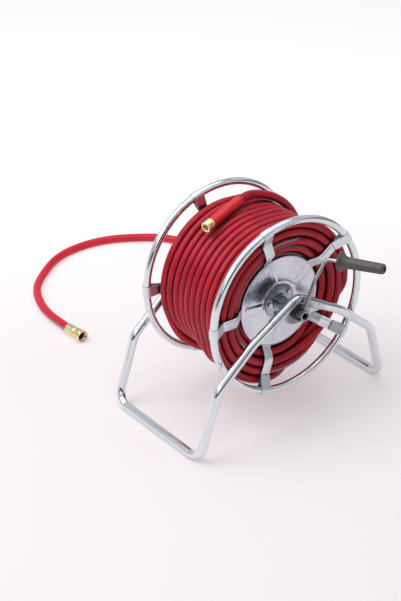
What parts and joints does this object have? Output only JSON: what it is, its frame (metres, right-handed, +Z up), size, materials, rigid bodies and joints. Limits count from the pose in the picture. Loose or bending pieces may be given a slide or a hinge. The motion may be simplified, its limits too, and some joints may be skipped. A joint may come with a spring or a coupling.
{
  "type": "portable hose reel",
  "caption": "Portable hand-cranked hose reel: a wire-ring drum full of hose on a bent-tube stand, with a crank and a short floor hose with a swivel coupling.",
  "frame": {"origin": "bottom centre of the bounding box at rest, on the floor; the middle of the drum axis is at (-27.3, -293.4, 305) mm", "axes": "+Z up; the drum axis is parallel to Y with the crank on the -Y side and the floor hose on the +Y side; +X to the right seen from the crank side"},
  "size_m": [0.6608, 1.2402, 0.533],
  "materials": {
    "zinc_tube": "bright zinc-plated tube",
    "fastener_steel": "plated fastener steel",
    "zinc_sheet": "zinc-plated pressed sheet",
    "zinc_disc": "zinc-plated pressed disc",
    "zinc_bar": "bright zinc-plated bar",
    "black_plastic": "black moulded nylon",
    "white_nylon": "natural nylon",
    "red_hose": "red reinforced hose with a grey stripe",
    "red_sleeve": "bright red bend sleeve",
    "dark_bolt": "black-finish bolt",
    "grip_plastic": "dark grey moulded grip",
    "seal_rubber": "black seal rubber",
    "brass_fitting": "machined brass"
  },
  "bodies": {
    "stand": {"left_leg": "zinc_tube", "right_leg": "zinc_tube", "near_bracket_front": "zinc_sheet", "near_bracket_rear": "zinc_sheet", "far_bracket_front": "zinc_sheet", "far_bracket_rear": "zinc_sheet", "near_bracket_rivets": "fastener_steel", "far_bracket_rivets": "fastener_steel", "near_bearing": "black_plastic", "far_bearing": "black_plastic", "inlet_elbow": "brass_fitting", "inlet_plug": "brass_fitting", "leader_hose": "red_hose", "leader_clamp": "fastener_steel", "leader_ferrule": "brass_fitting", "leader_tailpiece": "brass_fitting"},
    "drum": {"axle": "zinc_bar", "near_hub": "zinc_bar", "far_hub": "zinc_bar", "near_hub_bolts": "fastener_steel", "far_hub_bolts": "fastener_steel", "near_disc": "zinc_disc", "far_disc": "zinc_disc", "drum_core": "zinc_disc", "near_spoke_1": "zinc_sheet", "near_spoke_2": "zinc_sheet", "near_spoke_3": "zinc_sheet", "near_spoke_4": "zinc_sheet", "near_spoke_5": "zinc_sheet", "far_spoke_1": "zinc_sheet", "far_spoke_2": "zinc_sheet", "far_spoke_3": "zinc_sheet", "far_spoke_4": "zinc_sheet", "far_spoke_5": "zinc_sheet", "near_rim": "zinc_tube", "far_rim": "zinc_tube", "feed_pipe": "brass_fitting", "hose_coil": "red_hose", "tail_sleeve": "red_sleeve", "male_coupling": "brass_fitting", "crank_arm": "zinc_bar", "crank_bolt": "dark_bolt", "grip_retainer": "fastener_steel", "near_thrust_washer": "white_nylon", "far_thrust_washer": "white_nylon", "inlet_seals": "seal_rubber", "inlet_clip": "fastener_steel"},
    "grip": {"crank_grip": "grip_plastic"},
    "inlet_coupling": {"inlet_nut": "brass_fitting", "inlet_washer": "seal_rubber"}
  },
  "joints": [
    {"name": "drum_spin", "type": "hinge", "parent": "stand", "child": "drum", "pos_m": [-0.02734, -0.29343, 0.305], "axis": [0, 1, 0], "continuous": true},
    {"name": "grip_spin", "type": "hinge", "parent": "drum", "child": "grip", "pos_m": [0.05566, -0.51243, 0.4315], "axis": [0.3731, -0.9243, 0.08], "continuous": true},
    {"name": "inlet_nut_spin", "type": "hinge", "parent": "stand", "child": "inlet_coupling", "pos_m": [-0.22534, 0.20357, 0.0163], "axis": [0.0317, -0.9989, 0.0333], "continuous": true}
  ]
}
